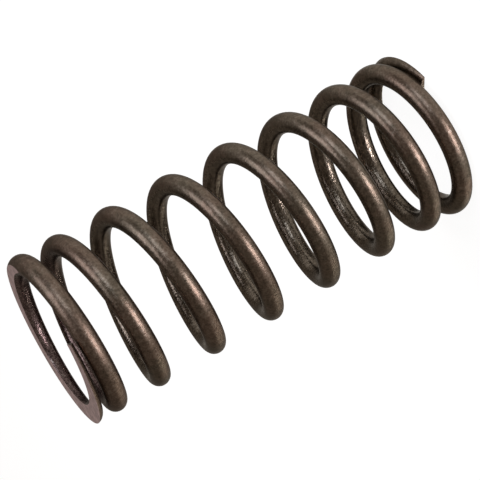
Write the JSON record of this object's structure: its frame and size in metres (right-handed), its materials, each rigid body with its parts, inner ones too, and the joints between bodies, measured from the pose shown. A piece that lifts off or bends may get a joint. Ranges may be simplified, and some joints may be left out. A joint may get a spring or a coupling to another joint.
{
  "type": "engine valve spring",
  "caption": "Right-hand helical compression spring of round steel wire with closed, ground-flat ends, which holds an engine's poppet valve shut on its seat.",
  "frame": {"origin": "centre of the lower ground end face, on the coil axis", "axes": "+Z along the coil axis from the lower ground face to the upper one; +X points at the lower tip of the wire"},
  "size_m": [0.0272, 0.0272, 0.067],
  "materials": {
    "spring_steel": "dark brown oil-tempered spring steel, shot-peened and satin, with paler ground end faces"
  },
  "bodies": {
    "root": {"valve_spring": "spring_steel"}
  },
  "joints": []
}
